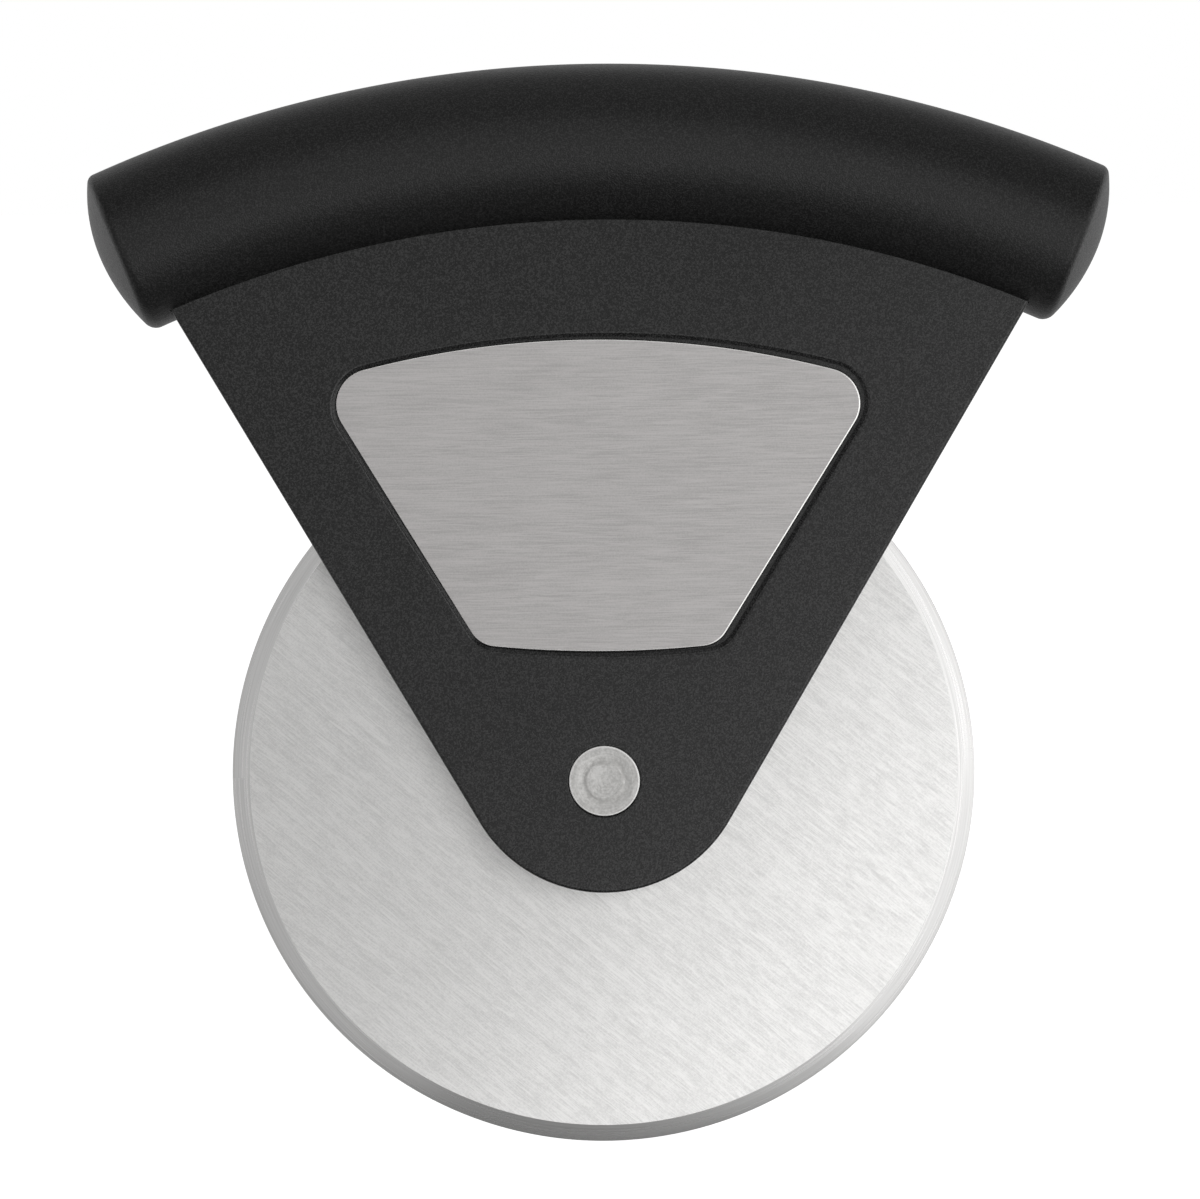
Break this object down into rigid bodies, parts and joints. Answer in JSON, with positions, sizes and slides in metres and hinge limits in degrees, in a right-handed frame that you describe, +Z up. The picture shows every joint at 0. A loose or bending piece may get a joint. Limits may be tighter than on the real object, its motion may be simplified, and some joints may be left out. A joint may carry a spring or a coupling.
{
  "type": "pizza wheel cutter",
  "caption": "Overhand pizza cutter: a round bevelled steel wheel turns on a rivet in a wedge-shaped body with a steel inlay, under a curved tubular palm grip.",
  "frame": {"origin": "lowest point of the cutting wheel, under the middle of the part", "axes": "+Z up from the cutting edge to the grip, -Y out of the front face that the picture shows, Y along the wheel's axle"},
  "size_m": [0.1368, 0.0222, 0.1456],
  "materials": {
    "blade_steel": "fine straight grinding marks on the faces, round ones on the bevel",
    "inlay_steel": "horizontal brushing",
    "rivet_metal": "satin",
    "body_plastic": "fine spark-eroded grain",
    "grip_rubber": "soft-touch, fine grain",
    "bearing_plastic": "smooth",
    "adhesive": "double-sided sheet",
    "screw_steel": "zinc plated"
  },
  "bodies": {
    "handle": {"front_shell": "body_plastic", "rear_shell": "body_plastic", "grip_sleeve": "grip_rubber", "front_inlay": "inlay_steel", "rear_inlay": "inlay_steel", "front_adhesive": "adhesive", "rear_adhesive": "adhesive", "left_screw": "screw_steel", "right_screw": "screw_steel", "rivet_pin": "rivet_metal", "rivet_barrel": "rivet_metal", "front_washer": "bearing_plastic", "rear_washer": "bearing_plastic"},
    "wheel": {"blade_wheel": "blade_steel", "hub_bushing": "bearing_plastic"}
  },
  "joints": [
    {"name": "blade_spin", "type": "hinge", "parent": "handle", "child": "wheel", "pos_m": [0, 0, 0.05], "axis": [0, 1, 0], "continuous": true}
  ]
}
